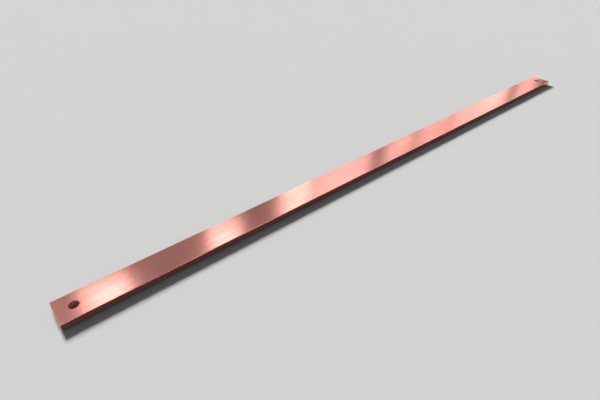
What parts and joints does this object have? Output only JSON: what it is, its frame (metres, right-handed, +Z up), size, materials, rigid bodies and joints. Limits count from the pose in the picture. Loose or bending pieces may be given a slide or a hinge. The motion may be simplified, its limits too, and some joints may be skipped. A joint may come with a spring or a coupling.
{
  "type": "bus bar",
  "caption": "Long flat bar of drawn copper with rounded long edges and a bolt hole near each end, for joining high-current terminals.",
  "frame": {"origin": "middle of the underside, as the bar lies on its wide face", "axes": "+X along the bar, +Y across its width, +Z up through its thickness"},
  "size_m": [1.11, 0.04, 0.01],
  "materials": {
    "copper": "bright drawn copper, fine lines along the bar"
  },
  "bodies": {
    "root": {"bus_bar": "copper"}
  },
  "joints": []
}
